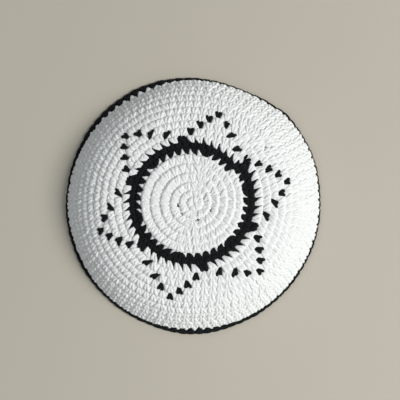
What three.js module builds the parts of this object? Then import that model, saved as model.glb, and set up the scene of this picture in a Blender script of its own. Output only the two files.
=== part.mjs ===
// A crocheted kippah: a shallow skullcap worked in one spiral of thick cotton from the crown
// down to the rim. Four yarn sections follow each other: a white crown disc, a black ring band,
// a white side wall, and a black edging round the rim. Each section is a shell of its own.
// Units are millimetres and +Z is up. The rim lies on the plane z = 0, under the origin's axis.
import * as THREE from "three";

// Driving dimensions
const RIM_RADIUS = 80; // outside of the rim, before RIM pushes it in or out
const FABRIC = 3.4; // thickness of the crocheted wall
const SEAM_GAP = 0.3; // clearance between one yarn section and the next
const AROUND = 72; // facets round the cap
const WALK_STEP = 0.1; // step down the slope when the profile is worked out

// Yarn sections from the crown down. A round's height is measured down the slope.
const SECTIONS = [
  { name: "crown_disc", rounds: 6, roundHeight: 4.84, yarn: "white" },
  { name: "ring_band", rounds: 2, roundHeight: 3.45, yarn: "black" },
  { name: "side_wall", rounds: 11, roundHeight: 4.68, yarn: "white" },
  { name: "edging", rounds: 1, roundHeight: 4.0, yarn: "black" },
];

// How steep the outside is, in degrees, at a distance down the slope from the crown. The tight
// black band sits in a shallow step, and the wall steepens from there to the rim.
const SLOPES = [
  { along: 0, slope: 0 },
  { along: 12, slope: 0 },
  { along: 26, slope: 6 },
  { along: 30, slope: 12 },
  { along: 34, slope: 14 },
  { along: 38, slope: 6 },
  { along: 44, slope: 8 },
  { along: 50, slope: 16 },
  { along: 55, slope: 23 },
  { along: 60, slope: 30 },
  { along: 64, slope: 37 },
  { along: 68, slope: 43 },
  { along: 73, slope: 49 },
  { along: 78, slope: 54 },
  { along: 82, slope: 58 },
  { along: 87, slope: 62 },
  { along: 92, slope: 65 },
];

// How the soft rim strays from a circle. Angles are in degrees from +X, counter-clockwise from
// above. "reach" is how far the rim stands out, and "flare" is the part of it that is made
// within the edging: above zero the edging splays out, below zero it tucks under the wall. The
// spiral's last round ends at 45 degrees, where the rim steps in.
const RIM = [
  { angle: 0, reach: -0.8, flare: -1.3 },
  { angle: 28, reach: 1.0, flare: -1.3 },
  { angle: 45, reach: 1.7, flare: -1.0 },
  { angle: 52, reach: 0.2, flare: -1.1 },
  { angle: 65, reach: -1.0, flare: -1.3 },
  { angle: 92, reach: -0.2, flare: -1.1 },
  { angle: 120, reach: 0.7, flare: 0.9 },
  { angle: 142, reach: 1.2, flare: 0.7 },
  { angle: 162, reach: 0.8, flare: 0.1 },
  { angle: 178, reach: 0.4, flare: -0.7 },
  { angle: 202, reach: 0.0, flare: 0.3 },
  { angle: 228, reach: -0.7, flare: -0.5 },
  { angle: 252, reach: -0.8, flare: -0.1 },
  { angle: 272, reach: -0.9, flare: 0.8 },
  { angle: 294, reach: -1.2, flare: -0.1 },
  { angle: 320, reach: -1.5, flare: -0.7 },
  { angle: 360, reach: -0.8, flare: -1.3 },
];
const FLARE_TOP = 5; // height above the surface where the flare has died out
const REACH_TOP = 26; // height where the reach has died out

const YARNS = {
  white: { color: 0xeceeed, roughness: 0.85, metalness: 0 },
  black: { color: 0x17191b, roughness: 0.8, metalness: 0 },
};

const straight = (share) => share;
const eased = (share) => THREE.MathUtils.smoothstep(share, 0, 1);

// A column of a table at a place between its rows: straight between rows, or eased.
function lookUp(table, key, column, place, blend) {
  const next = Math.max(1, table.findIndex((row) => row[key] >= place));
  const low = table[next - 1];
  const high = table[next];
  const share = (place - low[key]) / (high[key] - low[key]);
  return THREE.MathUtils.lerp(low[column], high[column], blend(share));
}

function slopeAt(along) {
  return THREE.MathUtils.degToRad(lookUp(SLOPES, "along", "slope", along, straight));
}

// Walks down the outside from the crown, and gives the distance out and the drop so far.
function walkDown(along) {
  const steps = Math.max(1, Math.round(along / WALK_STEP));
  const step = along / steps;
  const place = new THREE.Vector2(0, 0);
  for (let i = 0; i < steps; i += 1) {
    const slope = slopeAt((i + 0.5) * step);
    place.x += Math.cos(slope) * step;
    place.y += Math.sin(slope) * step;
  }
  return place;
}

// The walk is scaled so that it ends on the surface, at the rim's radius.
const TOTAL_ALONG = SECTIONS.reduce((sum, part) => sum + part.rounds * part.roundHeight, 0);
const WALK_END = walkDown(TOTAL_ALONG);
const SCALE = RIM_RADIUS / WALK_END.x;

// Radius and height of the outside, at a distance down the slope.
function outside(along) {
  const place = walkDown(along);
  return new THREE.Vector2(place.x * SCALE, (WALK_END.y - place.y) * SCALE);
}

// The inside lies one fabric thickness under the outside, square to it.
function inside(along) {
  const slope = slopeAt(along);
  const inward = new THREE.Vector2(-Math.sin(slope), -Math.cos(slope));
  return outside(along).addScaledVector(inward, FABRIC);
}

// Cross-section of the shell between two distances down the slope: down the inside and back up
// the outside. The crown's section starts and ends on the axis, and a band's closes on itself.
function shellOutline(from, to, rounds) {
  const inner = [];
  const outer = [];
  for (let i = 0; i <= rounds; i += 1) {
    const along = THREE.MathUtils.lerp(from, to, i / rounds);
    inner.push(inside(along));
    outer.unshift(outside(along));
  }
  if (to === TOTAL_ALONG) {
    // The rim is cut level, so that it lies flat on the surface.
    inner[rounds].set(outer[0].x - FABRIC / Math.sin(slopeAt(to)), 0);
  }
  const closing = from > 0 ? [inner[0]] : [];
  return [...inner, ...outer, ...closing];
}

// 0 at "top" and above, 1 at "bottom" and below, and a smooth rise between them.
function fade(height, top, bottom) {
  return 1 - THREE.MathUtils.smoothstep(height, bottom, top);
}

// How far the fabric is pushed out, at an angle in degrees and a height.
function push(angle, height) {
  const reach = lookUp(RIM, "angle", "reach", angle, eased);
  const flare = lookUp(RIM, "angle", "flare", angle, eased);
  return (reach - flare) * fade(height, REACH_TOP, FLARE_TOP) + flare * fade(height, FLARE_TOP, 0);
}

// Turns a cross-section round the Z axis, then pushes each point below REACH_TOP in or out.
function turnedShell(outline) {
  const geometry = new THREE.LatheGeometry(outline, AROUND);
  geometry.rotateX(Math.PI / 2);
  const points = geometry.getAttribute("position");
  for (let i = 0; i < points.count; i += 1) {
    const x = points.getX(i);
    const y = points.getY(i);
    const height = points.getZ(i);
    if (height < REACH_TOP) {
      const angle = THREE.MathUtils.euclideanModulo(THREE.MathUtils.radToDeg(Math.atan2(y, x)), 360);
      const scale = 1 + push(angle, height) / Math.hypot(x, y);
      points.setXY(i, x * scale, y * scale);
    }
  }
  geometry.computeVertexNormals();
  return geometry;
}

const kippah = new THREE.Group();
let seam = 0;
for (const { name, rounds, roundHeight, yarn } of SECTIONS) {
  const nextSeam = seam + rounds * roundHeight;
  const from = seam > 0 ? seam + SEAM_GAP / 2 : 0;
  const to = nextSeam < TOTAL_ALONG ? nextSeam - SEAM_GAP / 2 : TOTAL_ALONG;
  const geometry = turnedShell(shellOutline(from, to, rounds));
  const section = new THREE.Mesh(geometry, new THREE.MeshStandardMaterial(YARNS[yarn]));
  section.name = name;
  kippah.add(section);
  seam = nextSeam;
}

// The uneven rim is centred over the origin.
const middle = new THREE.Box3().setFromObject(kippah).getCenter(new THREE.Vector3());
kippah.position.set(-middle.x, -middle.y, 0);

export default kippah;
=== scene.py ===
"""The looks of a crocheted kippah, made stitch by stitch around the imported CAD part.

The cap is one spiral of single crochet. Every stitch is real yarn: two legs that form a V with
its point towards the crown, a top across the ends of the legs, a loop that shows between the
legs of the next round, and on the inside a post and a bar. Black star stitches have a filler
between their legs in place of the top. From the fourth round on, a flat core strand runs along
each round between the two sides. Lengths are in millimetres while a shape is worked out, and in
metres in the meshes, lights and camera.
"""
import math

import bpy
import numpy as np
from mathutils import Matrix, Vector


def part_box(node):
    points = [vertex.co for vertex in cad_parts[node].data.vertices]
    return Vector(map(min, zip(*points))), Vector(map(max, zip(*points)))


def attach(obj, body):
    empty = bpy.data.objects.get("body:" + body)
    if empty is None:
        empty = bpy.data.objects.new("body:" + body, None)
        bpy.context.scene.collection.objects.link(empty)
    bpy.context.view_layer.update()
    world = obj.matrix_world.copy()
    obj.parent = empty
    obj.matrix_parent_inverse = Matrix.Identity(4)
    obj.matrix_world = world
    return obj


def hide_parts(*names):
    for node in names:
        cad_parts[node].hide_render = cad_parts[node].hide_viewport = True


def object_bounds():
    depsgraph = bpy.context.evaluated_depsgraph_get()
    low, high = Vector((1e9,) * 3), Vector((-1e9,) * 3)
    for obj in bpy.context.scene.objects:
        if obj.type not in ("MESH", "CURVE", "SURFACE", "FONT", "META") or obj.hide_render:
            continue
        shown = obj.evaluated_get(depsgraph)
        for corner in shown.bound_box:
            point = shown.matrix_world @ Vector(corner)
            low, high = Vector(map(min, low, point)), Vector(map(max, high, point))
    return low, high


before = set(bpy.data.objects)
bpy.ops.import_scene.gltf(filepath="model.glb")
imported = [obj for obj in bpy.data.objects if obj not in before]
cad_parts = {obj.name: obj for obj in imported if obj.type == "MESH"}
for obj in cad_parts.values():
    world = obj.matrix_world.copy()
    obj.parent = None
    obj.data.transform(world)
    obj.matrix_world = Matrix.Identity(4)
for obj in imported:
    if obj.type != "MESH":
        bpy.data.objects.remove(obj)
cad_low, cad_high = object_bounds()

MM = 0.001
RANDOM = np.random.default_rng(20)

# ---- The cap's form, which follows the CAD part --------------------------------------------

RIM_RADIUS = 80.0
WALK_STEP = 0.1
# Rounds from the crown down, and the distance down the slope where they end. The black ring's
# edges lie 0.2 and 0.5 mm nearer the crown than in the CAD, which is closer to the photo.
ROUNDS = {"round": (0, 2, 6, 8, 13, 19, 20), "along": (0.0, 8.2, 28.8, 35.4, 58.2, 87.42, 91.42)}
# How far the first rounds lie to one side of the ring's middle, in mm, and where that ends
ASIDE = {"by": np.array([2.4, -1.2]), "reach": 32.0}
# Steepness of the outside, in degrees, at a distance down the slope
SLOPES = {
    "along": (0, 12, 26, 30, 34, 38, 44, 50, 55, 60, 64, 68, 73, 78, 82, 87, 92),
    "slope": (0, 0, 6, 12, 14, 6, 8, 16, 23, 30, 37, 43, 49, 54, 58, 62, 65),
}
# How far the soft rim strays from a circle, by the angle in degrees from +X, and the part of
# that which is made within the edging
RIM = {
    "angle": (0, 28, 45, 52, 65, 92, 120, 142, 162, 178, 202, 228, 252, 272, 294, 320, 360),
    "reach": (
        -0.8, 1.0, 1.7, 0.2, -1.0, -0.2, 0.7, 1.2, 0.8,
        0.4, 0.0, -0.7, -0.8, -0.9, -1.2, -1.5, -0.8,
    ),
    "flare": (
        -1.3, -1.3, -1.0, -1.1, -1.3, -1.1, 0.9, 0.7, 0.1,
        -0.7, 0.3, -0.5, -0.1, 0.8, -0.1, -0.7, -1.3,
    ),
}
FLARE_TOP = 5.0  # height at which the flare has died away
REACH_TOP = 26.0  # height at which the cap is round

crown_low, crown_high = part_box("crown_disc")
AXIS = np.array([(crown_low.x + crown_high.x) / 2, (crown_low.y + crown_high.y) / 2]) / MM

walk = np.arange(0.0, ROUNDS["along"][-1] + WALK_STEP, WALK_STEP)
walk_slope = np.radians(np.interp(walk + WALK_STEP / 2, SLOPES["along"], SLOPES["slope"]))
walk_out = np.concatenate([[0.0], np.cumsum(np.cos(walk_slope[:-1])) * WALK_STEP])
walk_drop = np.concatenate([[0.0], np.cumsum(np.sin(walk_slope[:-1])) * WALK_STEP])
SCALE = RIM_RADIUS / np.interp(ROUNDS["along"][-1], walk, walk_out)
HEIGHT = np.interp(ROUNDS["along"][-1], walk, walk_drop)


def smooth(share):
    """Eases a share from 0 to 1, level at both ends."""
    share = np.clip(share, 0.0, 1.0)
    return share * share * (3.0 - 2.0 * share)


def rim_table(column, angle):
    """A column of RIM, eased between its rows."""
    angle = np.mod(angle, 360.0)
    places = np.array(RIM["angle"], float)
    values = np.array(RIM[column], float)
    row = np.clip(np.searchsorted(places, angle, side="right") - 1, 0, len(places) - 2)
    share = smooth((angle - places[row]) / (places[row + 1] - places[row]))
    return values[row] + (values[row + 1] - values[row]) * share


def push(angle, height):
    """How far the fabric is pushed out from its round form."""
    reach = rim_table("reach", angle)
    flare = rim_table("flare", angle)
    upper = 1.0 - smooth((height - FLARE_TOP) / (REACH_TOP - FLARE_TOP))
    return (reach - flare) * upper + flare * (1.0 - smooth(height / FLARE_TOP))


def surface(along, angle, lift):
    """Points in mm at a distance down the slope, an angle in degrees, and a lift off the outside."""
    slope = np.radians(np.interp(along, SLOPES["along"], SLOPES["slope"]))
    radius = np.interp(along, walk, walk_out) * SCALE + lift * np.sin(slope)
    height = (HEIGHT - np.interp(along, walk, walk_drop)) * SCALE + lift * np.cos(slope)
    radius = radius + push(angle, height)
    turn = np.radians(angle)
    aside = 1.0 - smooth(along / ASIDE["reach"])
    x = AXIS[0] + ASIDE["by"][0] * aside + radius * np.cos(turn)
    y = AXIS[1] + ASIDE["by"][1] * aside + radius * np.sin(turn)
    return np.stack([x, y, height], -1)


# ---- The spiral and the chart --------------------------------------------------------------

START = 40.4  # angle in degrees where each round starts and steps out
# The fabric is pulled round towards one side, so its stitches bunch up at one angle
PULL = {"angle": 48.0, "turn": 3.3}
STITCHES = (6, 12, 18, 24, 30, 36, 42, 48, 48, 54, 60, 66, 72, 78, 84, 86, 86, 90, 90, 90)
LAST_ROUND = len(STITCHES)
# How much of a round's step the spiral makes at the end of each round: it runs out at the rim
STEP_SHARE = {"round": (0, 1, 2, 13, 17, 19, 20), "share": (0.0, 0.6, 1.0, 1.0, 0.7, 0.3, 0.0)}
# Dark stitches of the star, counted within each sixth of a round, and the turn of that round
STAR = {
    9: {"dark": (7,), "turn": 3.2},
    10: {"dark": (1, 7), "turn": 0.8},
    11: {"dark": (3, 7), "turn": -0.2},
    12: {"dark": (5, 7), "turn": -1.7},
    13: {"dark": (6,), "turn": 2.1},
}
BLACK_ROUNDS = (7, 8, 20)
SIXTHS = 6
STAR_LEAN = 0.16  # how far a star's stitches lean out of its points, in stitch widths
# How far a round stands out past the CAD surface in mm: the black ring is sunk, the rim is not
STAND_OUT = {"round": (0, 6, 7, 8, 9, 19, 20), "out": (0.0, 0.0, -0.3, -0.3, 0.0, 0.0, 0.5)}
# Where the edging splays out further, round two angles
SPLAYS = (
    {"angle": 118.0, "reach": 46.0, "out": 1.6},
    {"angle": 268.0, "reach": 28.0, "out": 1.1},
)
# Gaps that are left open in the crown, where the first rounds were pulled apart
HOLES = {3: (5, 6, 8, 10), 4: (15,)}


def turn_of(number):
    """How far a round of the star is turned, in degrees, to line up with the round above."""
    return STAR[number]["turn"] if number in STAR else 0.0


def is_dark(number, stitch):
    """Whether each stitch of a round is worked in black."""
    stitch = np.asarray(stitch)
    if number in STAR:
        return np.isin(stitch % (STITCHES[number - 1] // SIXTHS), STAR[number]["dark"])
    return np.full(stitch.shape, number in BLACK_ROUNDS)


def lean_of(number, stitch):
    """How far each stitch leans along the round, in stitch widths, at its lower edge."""
    if number not in STAR or len(STAR[number]["dark"]) < 2:
        return np.zeros(len(stitch))
    first, second = STAR[number]["dark"]
    within = stitch % (STITCHES[number - 1] // SIXTHS)
    return STAR_LEAN * ((within == second).astype(float) - (within == first))


def boundary(number, share):
    """Distance down the slope of a round's lower edge, at a share of the way round."""
    step = np.interp(number, STEP_SHARE["round"], STEP_SHARE["share"])
    return np.interp(number + step * (share - 0.5), ROUNDS["round"], ROUNDS["along"])


def place(number, share, down, lift):
    """Points of a round: share of the way round, rounds down from its upper edge, and lift."""
    top = boundary(number - 1, share)
    bottom = boundary(number, share)
    angle = START + turn_of(number) + 360.0 * share
    angle = angle - PULL["turn"] * np.cos(np.radians(angle - PULL["angle"]))
    along = np.clip(top + down * (bottom - top), 0.0, ROUNDS["along"][-1])
    return surface(along, angle, lift)


def stand_out(number, share):
    """How far a round stands out past the CAD surface, in mm."""
    out = np.interp(number, STAND_OUT["round"], STAND_OUT["out"])
    if number < LAST_ROUND:
        return out
    angle = START + 360.0 * share
    for splay in SPLAYS:
        near = 1.0 - np.abs(angle - splay["angle"]) / splay["reach"]
        out = out + splay["out"] * smooth(near)
    return out


def pitch_of(number):
    """Width of one stitch at a round's lower edge."""
    out = np.interp(boundary(number, 0.5), walk, walk_out) * SCALE
    return 2.0 * math.pi * out / STITCHES[number - 1]


def offset_of(number):
    """How far a round's stitches are turned from those of the round above, as a share."""
    return (turn_of(number) - turn_of(number - 1)) / 360.0


def parents_of(number):
    """The stitch of the round above that each stitch of a round is worked into."""
    own = STITCHES[number - 1]
    middles = (np.arange(own) + 0.5) / own
    return np.floor((middles + offset_of(number)) * STITCHES[number - 2])


def stitch_ends(number, stitch):
    """Where stitches start in the round above and where they end, as shares of the way round."""
    tips = (stitch + 0.5) / STITCHES[number - 1]
    if number == 1:
        return tips, tips
    roots = (parents_of(number)[stitch] + 0.5) / STITCHES[number - 2] - offset_of(number)
    return roots, tips


def gap_ends(number):
    """The same for the gaps between a round's stitches, one for each stitch of the round above."""
    above = np.arange(STITCHES[number - 2])
    roots = above / len(above) - offset_of(number)
    tips = np.searchsorted(parents_of(number), above) / STITCHES[number - 1]
    return roots, tips


# ---- Yarn paths within one stitch ----------------------------------------------------------
# across: stitch widths from the stitch's middle. down: rounds from its upper edge. crest: mm
# that the yarn's crest stands above the CAD surface. thick: share of the yarn's full radius.

YARN_RADIUS = 1.15
# The right-hand leg of the V; the left-hand one is its mirror image
LEG = {
    "down": (-0.35, -0.15, 0.08, 0.35, 0.60, 0.80, 0.96, 1.08),
    "across": (0.03, 0.04, 0.07, 0.13, 0.19, 0.235, 0.27, 0.26),
    "crest": (-2.2, -1.6, -0.90, -0.15, 0.25, 0.22, -0.5, -1.6),
    "thick": (0.42, 0.48, 0.58, 0.78, 0.96, 1.08, 1.08, 0.85),
}
# The strand across the ends of the legs
TOP = {
    "down": (0.95, 0.88, 0.86, 0.88, 0.95),
    "across": (-0.42, -0.22, 0.0, 0.22, 0.42),
    "crest": (-1.0, -0.15, 0.0, -0.15, -1.0),
    "thick": (0.55, 0.75, 0.8, 0.75, 0.55),
}
# The loop of a round that shows between two stitches of the round below
LOOP = {
    "down": (-0.30, -0.10, 0.15, 0.50, 0.88),
    "across": (0.0, 0.0, 0.0, 0.0, 0.0),
    "crest": (-1.6, -1.0, -0.65, -0.30, -0.6),
    "thick": (1.3, 1.85, 1.75, 1.25, 0.42),
}
# The top of the crown's stitches, which lie together as a plump rope
ROPE = {
    "down": (0.90, 0.80, 0.76, 0.80, 0.90),
    "across": (-0.55, -0.28, 0.0, 0.28, 0.55),
    "crest": (-0.50, 0.12, 0.25, 0.12, -0.50),
    "thick": (0.85, 1.15, 1.22, 1.15, 0.85),
}
# A loop that is pulled down, so it leaves a hole above it
HOLE_LOOP = {
    "down": (0.30, 0.36, 0.46, 0.62, 0.88),
    "across": (0.0, 0.0, 0.0, 0.0, 0.0),
    "crest": (-1.1, -0.8, -0.55, -0.30, -0.6),
    "thick": (0.6, 1.2, 1.4, 1.2, 0.42),
}
# The shorter loop between two stitches of the edging
RIM_LOOP = {
    "down": (-0.30, -0.10, 0.08, 0.25, 0.45),
    "across": (0.0, 0.0, 0.0, 0.0, 0.0),
    "crest": (-1.6, -1.2, -1.0, -1.0, -1.3),
    "thick": (1.1, 1.5, 1.3, 0.9, 0.40),
}
# The filler between the legs of a star's stitch
HEART = {
    "down": (0.15, 0.40, 0.65, 0.90),
    "across": (0.0, 0.0, 0.0, 0.0),
    "crest": (-0.9, -0.5, -0.4, -0.8),
    "thick": (0.5, 0.8, 1.1, 1.2),
}
# The two strands on the inside: one down the stitch and one across it
POST = {
    "down": (-0.05, 0.25, 0.55, 0.80),
    "across": (0.12, 0.06, -0.06, -0.12),
    "crest": (-1.6, -2.3, -2.3, -1.6),
    "thick": (0.7, 0.85, 0.85, 0.7),
}
BAR = {
    "down": (0.92, 0.86, 0.84, 0.86, 0.92),
    "across": (-0.52, -0.27, 0.0, 0.27, 0.52),
    "crest": (-1.5, -2.0, -2.1, -2.0, -1.5),
    "thick": (0.6, 0.85, 0.95, 0.85, 0.6),
}
# The stitch tops along the rim
CHAIN = {
    "down": (0.96, 0.98, 1.0, 0.98, 0.96),
    "across": (-0.75, -0.38, 0.0, 0.38, 0.75),
    "crest": (-1.0, -0.35, -0.1, -0.25, -0.8),
    "thick": (0.7, 0.95, 1.05, 0.95, 0.7),
}


def resample(path, count):
    """Each column of a path at evenly spaced places, on a smooth curve through its rows."""
    rows = len(path["down"])
    at = np.linspace(0, rows - 1, count)
    low = np.clip(at.astype(int), 0, rows - 2)
    t = at - low
    made = {}
    for column, values in path.items():
        v = np.concatenate([[2 * values[0] - values[1]], values, [2 * values[-1] - values[-2]]])
        a, b, c, d = v[low], v[low + 1], v[low + 2], v[low + 3]
        made[column] = 0.5 * (
            2 * b + (c - a) * t + (2 * a - 5 * b + 4 * c - d) * t**2 + (3 * b - a - 3 * c + d) * t**3
        )
    return made


# ---- Yarn as mesh --------------------------------------------------------------------------


def unit(vectors):
    """Vectors of length one."""
    return vectors / np.maximum(np.linalg.norm(vectors, axis=-1, keepdims=True), 1e-9)


END_ROUND = 0.6  # how far a strand's end bulges past its last ring, in radii
LONGEST_SHIFT = 10.0  # mm of yarn by which the plies of two strands may differ


class YarnMesh:
    """Gathers strands of yarn, each a closed tube with rounded ends, and joins them in a mesh."""

    def __init__(self, radius, spread):
        self.radius = radius
        self.spread = spread
        self.points, self.quads, self.tris = [], [], []
        self.quad_uv, self.tri_uv, self.tone = [], [], []
        self.count = 0

    def add(self, centres, radii, sideways, sides, flat=1.0):
        """Strands along centres (strand, step, xyz), with a hint of which way is sideways."""
        strands, steps, _ = centres.shape
        along = unit(np.gradient(centres, axis=1))
        side = unit(sideways - along * np.sum(sideways * along, -1, keepdims=True))
        up = np.cross(along, side)
        turn = 2.0 * math.pi * np.arange(sides) / sides
        ring = (
            side[:, :, None] * np.cos(turn)[None, None, :, None]
            + up[:, :, None] * np.sin(turn)[None, None, :, None] * flat
        ) * radii[:, :, None, None]
        body = (centres[:, :, None] + ring).reshape(strands, steps * sides, 3)
        first = centres[:, :1] - along[:, :1] * radii[:, :1, None] * END_ROUND
        last = centres[:, -1:] + along[:, -1:] * radii[:, -1:, None] * END_ROUND
        self.points.append(np.concatenate([body, first, last], 1).reshape(-1, 3))
        self.add_faces(strands, steps, sides)
        self.add_uvs(centres, sides)
        per_strand = steps * sides + 2
        self.tone.append(np.repeat(RANDOM.uniform(0.0, 1.0, strands), per_strand))
        self.count += strands * per_strand

    def add_faces(self, strands, steps, sides):
        """Quads round each tube, and a fan of triangles on each of its ends."""
        base = self.count + (steps * sides + 2) * np.arange(strands)[:, None, None]
        step = np.arange(steps - 1)[:, None] * sides
        here = np.arange(sides)[None, :]
        ahead = (here + 1) % sides
        corners = np.stack([step + here, step + ahead, step + sides + ahead, step + sides + here], -1)
        self.quads.append((base[..., None] + corners[None]).reshape(-1, 4))
        end = (steps - 1) * sides
        fan = np.arange(sides)
        next_fan = (fan + 1) % sides
        start_cap = np.stack([np.full(sides, steps * sides), next_fan, fan], -1)
        end_cap = np.stack([np.full(sides, steps * sides + 1), end + fan, end + next_fan], -1)
        caps = np.concatenate([start_cap, end_cap])
        self.tris.append((base + caps[None]).reshape(-1, 3))

    def add_uvs(self, centres, sides):
        """U: mm along the yarn, from a random start. V: share of the way round it."""
        strands, steps, _ = centres.shape
        fan = np.arange(sides)
        run = np.linalg.norm(np.diff(centres, axis=1), axis=-1)
        run = np.concatenate([np.zeros((strands, 1)), np.cumsum(run, 1)], 1)
        run = run + RANDOM.uniform(0.0, LONGEST_SHIFT, (strands, 1))
        round_low = np.broadcast_to(fan / sides, (strands, steps - 1, sides))
        round_high = round_low + 1.0 / sides
        run_low = np.broadcast_to(run[:, :-1, None], round_low.shape)
        run_high = np.broadcast_to(run[:, 1:, None], round_low.shape)
        quad_uv = np.stack(
            [
                np.stack([run_low, round_low], -1),
                np.stack([run_low, round_high], -1),
                np.stack([run_high, round_high], -1),
                np.stack([run_high, round_low], -1),
            ],
            -2,
        )
        self.quad_uv.append(quad_uv.reshape(-1, 2))
        cap_run = np.repeat(np.stack([run[:, 0], run[:, -1]], 1), sides, 1)
        turn_a, turn_b = fan / sides, (fan + 1) / sides
        middle = (turn_a + turn_b) / 2
        cap_round = np.concatenate(
            [np.stack([middle, turn_b, turn_a], -1), np.stack([middle, turn_a, turn_b], -1)]
        )
        cap_uv = np.stack(
            [
                np.broadcast_to(cap_run[:, :, None], (strands, 2 * sides, 3)),
                np.broadcast_to(cap_round[None], (strands, 2 * sides, 3)),
            ],
            -1,
        )
        self.tri_uv.append(cap_uv.reshape(-1, 2))

    def build(self, name, material):
        """The strands as one object, with their UVs and a tone for each strand."""
        points = np.concatenate(self.points) * MM
        points[:, 2] = np.maximum(points[:, 2], cad_low.z)  # yarn lies flat where it meets the floor
        quads = np.concatenate(self.quads)
        tris = np.concatenate(self.tris)
        mesh = bpy.data.meshes.new(name)
        mesh.vertices.add(len(points))
        mesh.vertices.foreach_set("co", points.astype(np.float32).ravel())
        loops = np.concatenate([quads.ravel(), tris.ravel()]).astype(np.int32)
        mesh.loops.add(len(loops))
        mesh.loops.foreach_set("vertex_index", loops)
        starts = np.concatenate(
            [4 * np.arange(len(quads)), 4 * len(quads) + 3 * np.arange(len(tris))]
        ).astype(np.int32)
        mesh.polygons.add(len(starts))
        mesh.polygons.foreach_set("loop_start", starts)
        uv = mesh.uv_layers.new(name="yarn")
        uv.data.foreach_set(
            "uv", np.concatenate([*self.quad_uv, *self.tri_uv]).astype(np.float32).ravel()
        )
        tone = mesh.attributes.new("tone", "FLOAT", "POINT")
        tone.data.foreach_set("value", np.concatenate(self.tone).astype(np.float32))
        mesh.update(calc_edges=True)
        mesh.validate()
        mesh.shade_smooth()
        mesh.materials.append(material)
        piece = bpy.data.objects.new(name, mesh)
        bpy.context.scene.collection.objects.link(piece)
        return piece


LEG_DETAIL = {"steps": 10, "sides": 9}
LOOP_DETAIL = {"steps": 7, "sides": 8}
BACK_DETAIL = {"steps": 5, "sides": 6}
LOOP_FLAT = 0.7  # height of a loop's yarn beside its width
ROOT_PULL = 0.75  # how far a stitch's point is drawn to the hole that it is worked into
PULL_END = 0.9  # how far down the stitch that pull reaches
USUAL_PITCH = 4.8  # width in mm of a stitch whose yarn has its full thickness
# How much strands differ from each other, as standard deviations of what the paths give
UNEVEN = {"wide": 0.05, "drift": 0.035, "down": 0.03, "size": 0.05, "crest": 0.10}
SHARE_AHEAD = 1e-4  # a small step along the round, which shows which way it runs
LIFT_AHEAD = 1.0  # the same step off the surface, in mm, for strands that lie along the round


def strand(yarn, number, ends, path, detail, mirror=1.0, flat=1.0, level=False, lean=None):
    """Adds one strand for each stitch or gap of a round, along a path between its two ends.

    mirror: -1 for the path's mirror image. flat: height of the yarn beside its width. level: for
    strands that lie along the round. lean: stitch widths that each strand leans along the round.
    """
    rows = resample(path, detail["steps"])
    roots, tips = ends
    shape = (len(tips), 1)
    wide = RANDOM.normal(yarn.spread, UNEVEN["wide"], shape)
    drift = RANDOM.normal(0.0, UNEVEN["drift"], shape)
    down = rows["down"][None] + RANDOM.normal(0.0, UNEVEN["down"], shape)
    size = RANDOM.normal(1.0, UNEVEN["size"], shape) * math.sqrt(pitch_of(number) / USUAL_PITCH)
    radii = yarn.radius * rows["thick"][None] * size
    across = rows["across"][None] * mirror * wide + drift
    if lean is not None:
        across = across + lean[:, None] * down
    pull = ROOT_PULL * (1.0 - smooth(down / PULL_END)) * (roots - tips)[:, None]
    share = tips[:, None] + pull + across / STITCHES[number - 1]
    uneven_crest = rows["crest"][None] + RANDOM.normal(0.0, UNEVEN["crest"], shape)
    lift = uneven_crest + stand_out(number, share) - radii * flat
    centres = place(number, share, down, lift)
    centres[..., 2] = np.maximum(centres[..., 2], radii)
    if level:
        ahead = place(number, share, down, lift + LIFT_AHEAD)
    else:
        ahead = place(number, share + SHARE_AHEAD, down, lift)
    yarn.add(centres, radii, unit(ahead - centres), detail["sides"], flat)


def add_stitches(yarn, number, stitch):
    """The parts of a stitch that its own yarn makes."""
    if len(stitch) == 0:
        return
    ends = stitch_ends(number, stitch)
    lean = lean_of(number, stitch)
    strand(yarn, number, ends, LEG, LEG_DETAIL, lean=lean)
    strand(yarn, number, ends, LEG, LEG_DETAIL, mirror=-1.0, lean=lean)
    if number in STAR and is_dark(number, stitch[0]):
        strand(yarn, number, ends, HEART, LOOP_DETAIL, lean=lean)
    else:
        top = ROPE if number < BLACK_ROUNDS[0] else TOP
        strand(yarn, number, ends, top, LOOP_DETAIL, level=True, lean=lean)
    strand(yarn, number, ends, POST, BACK_DETAIL)
    strand(yarn, number, ends, BAR, BACK_DETAIL, level=True)


FIRST_CORE = 4  # the first rounds have none, so their holes go right through
# down: rounds from the round's upper edge. depth: mm off the CAD surface. width: half the
# strand's width, as a share of the round's height.
CORE = {"steps": 90, "sides": 8, "down": 0.5, "depth": -1.9, "width": 0.56, "flat": 0.28}
CORE_AHEAD = 0.1  # a step down the round, which shows which way the strand's width lies


def add_core(yarn, first, last):
    """The flat strand that runs inside the stitches, from one round to another."""
    share = np.linspace(0.0, 1.0, CORE["steps"])[None]
    down = np.full_like(share, CORE["down"])
    depth = np.full_like(share, CORE["depth"])
    for number in range(first, last + 1):
        centres = place(number, share, down, depth)
        ahead = place(number, share, down + CORE_AHEAD, depth)
        width = (boundary(number, 0.5) - boundary(number - 1, 0.5)) * CORE["width"]
        radii = np.full(share.shape, width)
        yarn.add(centres, radii, unit(ahead - centres), CORE["sides"], flat=CORE["flat"])


# The ring of yarn that the first round is worked into, pulled shut: three puffed strands, two of
# them with a slanted groove between them. Places are in mm from the middle of the first round.
CLOSURE = (
    {"from": (-0.1, 3.6), "to": (2.6, -4.0), "radius": 1.35, "crest": 0.15},
    {"from": (-3.0, 2.6), "to": (-0.9, -4.2), "radius": 1.60, "crest": -0.05},
    {"from": (-1.2, 4.6), "to": (3.4, 4.0), "radius": 1.20, "crest": -0.20},
)
PUFF_DETAIL = {"steps": 9, "sides": 12}
PUFF_END = 0.55  # thickness at a puff's ends, beside its middle
PUFF_DIP = 0.9  # mm that its ends lie lower than its middle


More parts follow.
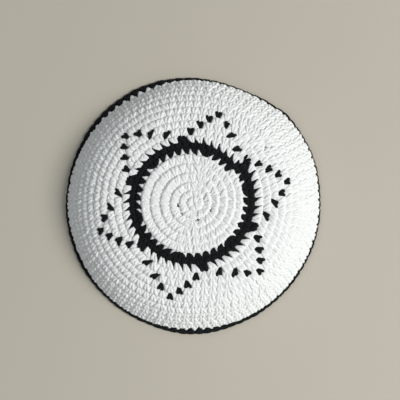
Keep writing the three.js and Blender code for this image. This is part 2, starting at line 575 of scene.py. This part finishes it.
def add_closure(yarn):
    """The puffs of yarn in the middle of the crown."""
    share = np.linspace(0.0, 1.0, PUFF_DETAIL["steps"])[:, None]
    bow = np.sin(math.pi * share[:, 0])
    top = HEIGHT * SCALE
    for puff in CLOSURE:
        start, end = np.array(puff["from"]), np.array(puff["to"])
        radii = puff["radius"] * (PUFF_END + (1.0 - PUFF_END) * bow)
        centres = np.empty((1, len(share), 3))
        centres[0, :, :2] = AXIS + ASIDE["by"] + start + (end - start) * share
        centres[0, :, 2] = top + puff["crest"] - PUFF_DIP * (1.0 - bow) - radii
        sideways = np.broadcast_to([1.0, 0.0, 0.0], centres.shape)
        yarn.add(centres, radii[None], sideways, PUFF_DETAIL["sides"])


def add_loops(yarn, number):
    """The loops of a round that show between the stitches of the round below."""
    below = number + 1
    roots, tips = gap_ends(below)
    shut = ~np.isin(np.arange(len(tips)), HOLES.get(below, ()))
    path = RIM_LOOP if below == LAST_ROUND else LOOP
    strand(yarn, below, (roots[shut], tips[shut]), path, LOOP_DETAIL, flat=LOOP_FLAT)
    if not shut.all():
        strand(yarn, below, (roots[~shut], tips[~shut]), HOLE_LOOP, LOOP_DETAIL, flat=LOOP_FLAT)


BLACK_THIN = 0.82  # the black yarn's thickness beside the white, above the edging
BLACK_SPREAD = 0.92  # and how widely its stitches open


def yarn_for(dark, last):
    """An empty mesh for white or black yarn. The edging's yarn is as thick as the white."""
    if dark and last < LAST_ROUND:
        return YarnMesh(YARN_RADIUS * BLACK_THIN, BLACK_SPREAD)
    return YarnMesh(YARN_RADIUS, 1.0)


def section(name, node, first, last, dark, material, core=True):
    """One piece of the cap: the stitches of one colour in a run of rounds."""
    yarn = yarn_for(dark, last)
    for number in range(first, last + 1):
        stitch = np.arange(STITCHES[number - 1])
        add_stitches(yarn, number, stitch[is_dark(number, stitch) == dark])
        if (number in BLACK_ROUNDS) != dark:
            continue
        if number < LAST_ROUND:
            add_loops(yarn, number)
        else:
            strand(yarn, number, stitch_ends(number, stitch), CHAIN, LOOP_DETAIL, level=True)
    if first == 1:
        add_closure(yarn)
    if core:
        add_core(yarn, max(first, FIRST_CORE), last)
    piece = yarn.build(name, material)
    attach(piece, "root")
    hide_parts(node)
    return piece


# ---- Materials -----------------------------------------------------------------------------


class Nodes:
    """Short names for making and linking shader nodes."""

    def __init__(self, name):
        self.material = bpy.data.materials.new(name)
        self.material.use_nodes = True
        self.tree = self.material.node_tree
        self.shader = self.tree.nodes["Principled BSDF"]

    def node(self, kind, **values):
        made = self.tree.nodes.new(kind)
        for key, value in values.items():
            setattr(made, key, value)
        return made

    def link(self, source, target):
        self.tree.links.new(source, target)

    def math(self, operation, *values, clamp=False):
        made = self.node("ShaderNodeMath", operation=operation, use_clamp=clamp)
        for socket, value in zip(made.inputs, values):
            if isinstance(value, (int, float)):
                socket.default_value = value
            else:
                self.link(value, socket)
        return made.outputs[0]

    def noise(self, coordinates, scale, detail=3.0):
        made = self.node("ShaderNodeTexNoise")
        made.inputs["Scale"].default_value = scale
        made.inputs["Detail"].default_value = detail
        self.link(coordinates, made.inputs["Vector"])
        return made.outputs["Fac"]

    def mix(self, share, low, high):
        made = self.node("ShaderNodeMix", data_type="RGBA")
        self.link(share, made.inputs["Factor"])
        made.inputs["A"].default_value = (*low, 1.0)
        made.inputs["B"].default_value = (*high, 1.0)
        return made.outputs["Result"]


PLIES = 4
PLY_PITCH = 7.0  # mm of yarn for one turn of its plies
FIBRE_SCALE = 2600.0
PATCH_SCALE = 120.0
BUMP_STRENGTH = 0.45
BUMP_DEPTH = 0.0002
YARN_GLOSS = 0.10  # specular level: cotton hardly shines


def yarn_material(name, groove_shade_and_dark_tone, crest, roughness, sheen):
    """Twisted cotton: plies wound round the yarn, fine fibres along them, painted shade in the
    grooves between the plies, and uneven colour.
    """
    n = Nodes(name)
    uv = n.node("ShaderNodeUVMap", uv_map="yarn").outputs["UV"]
    split = n.node("ShaderNodeSeparateXYZ")
    n.link(uv, split.inputs[0])
    wound_round = n.math("MULTIPLY", split.outputs["Y"], float(PLIES))
    wound_along = n.math("DIVIDE", split.outputs["X"], PLY_PITCH / PLIES)
    wound = n.math("ADD", wound_round, wound_along)
    saw = n.math("PINGPONG", wound, 0.5)
    ply = n.math("SQRT", n.math("MULTIPLY", saw, 2.0))
    where = n.node("ShaderNodeTexCoord").outputs["Object"]
    fibre = n.noise(where, FIBRE_SCALE, 4.0)
    patch = n.noise(where, PATCH_SCALE, 2.0)
    tone = n.node("ShaderNodeAttribute", attribute_name="tone").outputs["Fac"]
    height = n.math("ADD", ply, n.math("MULTIPLY", fibre, 0.6))
    bump = n.node("ShaderNodeBump")
    bump.inputs["Strength"].default_value = BUMP_STRENGTH
    bump.inputs["Distance"].default_value = BUMP_DEPTH
    n.link(height, bump.inputs["Height"])
    n.link(bump.outputs["Normal"], n.shader.inputs["Normal"])
    # Painted shade: the colour darkens in the grooves between the plies. The tone of each strand and
    # the patches add uneven colour at random.
    light = n.math("ADD", n.math("MULTIPLY", ply, 0.5), n.math("MULTIPLY", tone, 0.25))
    light = n.math("ADD", light, n.math("MULTIPLY", patch, 0.3), clamp=True)
    n.link(n.mix(light, groove_shade_and_dark_tone, crest), n.shader.inputs["Base Color"])
    rough = n.math("ADD", n.math("MULTIPLY", fibre, 0.12), roughness)
    n.link(rough, n.shader.inputs["Roughness"])
    n.shader.inputs["Sheen Weight"].default_value = sheen
    n.shader.inputs["Sheen Roughness"].default_value = 0.5
    n.shader.inputs["Specular IOR Level"].default_value = YARN_GLOSS
    return n.material


# The darker of each yarn's two colours is painted shade in the ply grooves, and also the darkest
# random tone.
white_yarn = yarn_material(
    "white_cotton",
    groove_shade_and_dark_tone=(0.78, 0.805, 0.81),
    crest=(0.86, 0.88, 0.88),
    roughness=0.80,
    sheen=0.20,
)
black_yarn = yarn_material(
    "black_cotton",
    groove_shade_and_dark_tone=(0.004, 0.0045, 0.005),
    crest=(0.013, 0.0145, 0.016),
    roughness=0.80,
    sheen=0.015,
)

# ---- The cap -------------------------------------------------------------------------------

section("crown_stitches", "crown_disc", 1, 6, False, white_yarn)
section("ring_stitches", "ring_band", 7, 8, True, black_yarn)
section("star_ground_stitches", "side_wall", 9, 13, False, white_yarn)
section("star_stitches", "side_wall", 9, 13, True, black_yarn, core=False)
section("upper_wall_stitches", "side_wall", 14, 16, False, white_yarn)
section("lower_wall_stitches", "side_wall", 17, 19, False, white_yarn)
section("edging_stitches", "edging", 20, 20, True, black_yarn)

# ---- Floor, light and camera ---------------------------------------------------------------


FLOOR_SIZE = 4.0
FLOOR_COLOURS = ((0.50, 0.465, 0.395), (0.54, 0.505, 0.435))


def add_floor():
    """A plain pale surface, a little uneven in colour, at the height of the rim."""
    bpy.ops.mesh.primitive_plane_add(size=FLOOR_SIZE, location=(0.0, 0.0, cad_low.z))
    floor = bpy.context.object
    floor.name = "floor"
    n = Nodes("pale_floor")
    where = n.node("ShaderNodeTexCoord").outputs["Object"]
    colour = n.mix(n.noise(where, 3.0), *FLOOR_COLOURS)
    n.link(colour, n.shader.inputs["Base Color"])
    n.shader.inputs["Roughness"].default_value = 0.7
    floor.data.materials.append(n.material)


def add_light(name, direction, distance, size, power, colour):
    """A square soft light that looks at the cap from a direction."""
    lamp = bpy.data.lights.new(name, "AREA")
    lamp.size = size
    lamp.energy = power
    lamp.color = colour
    light = bpy.data.objects.new(name, lamp)
    away = Vector(direction).normalized()
    light.location = away * distance
    light.rotation_mode = "QUATERNION"
    light.rotation_quaternion = away.to_track_quat("Z", "Y")
    bpy.context.scene.collection.objects.link(light)


def add_world(colour, strength):
    """Even light from all round."""
    world = bpy.data.worlds.new("studio")
    world.use_nodes = True
    background = world.node_tree.nodes["Background"]
    background.inputs["Color"].default_value = (*colour, 1.0)
    background.inputs["Strength"].default_value = strength
    bpy.context.scene.world = world


CAMERA_TILT = math.radians(4.8)  # off straight down
CAMERA_AZIMUTH = math.radians(33.0)
CAMERA_DISTANCE = 0.400
VIEW_WIDTH = 0.252  # what the picture's width takes in at the rim
AIM = Vector((0.0050, 0.0026, 0.0))  # point of the floor in the middle of the picture


def add_camera():
    """The photo's viewpoint, almost straight above, turned so that +X points to the right."""
    data = bpy.data.cameras.new("camera")
    data.sensor_width = 36.0
    data.lens = data.sensor_width * CAMERA_DISTANCE / VIEW_WIDTH
    camera = bpy.data.objects.new("camera", data)
    back = Vector(
        (
            math.sin(CAMERA_AZIMUTH) * math.sin(CAMERA_TILT),
            -math.cos(CAMERA_AZIMUTH) * math.sin(CAMERA_TILT),
            math.cos(CAMERA_TILT),
        )
    )
    right = Vector((0.0, 1.0, 0.0)).cross(back).normalized()
    camera.rotation_mode = "QUATERNION"
    camera.rotation_quaternion = Matrix((right, back.cross(right), back)).transposed().to_quaternion()
    camera.location = AIM + back * CAMERA_DISTANCE
    bpy.context.scene.collection.objects.link(camera)
    bpy.context.scene.camera = camera


def use_plain_tones():
    """Shows tones as they are lit, because the usual view transform greys the white yarn."""
    bpy.context.scene.view_settings.view_transform = "Standard"


add_floor()
add_world(colour=(0.94, 0.98, 1.0), strength=0.33)
use_plain_tones()
add_light(
    "window",
    direction=(0.80, -0.16, 0.80),
    distance=2.2,
    size=0.9,
    power=41.0,
    colour=(1.0, 0.985, 0.95),
)
add_light(
    "fill",
    direction=(0.2, -0.9, 1.0),
    distance=1.3,
    size=1.0,
    power=0.5,
    colour=(0.96, 0.98, 1.0),
)
add_camera()
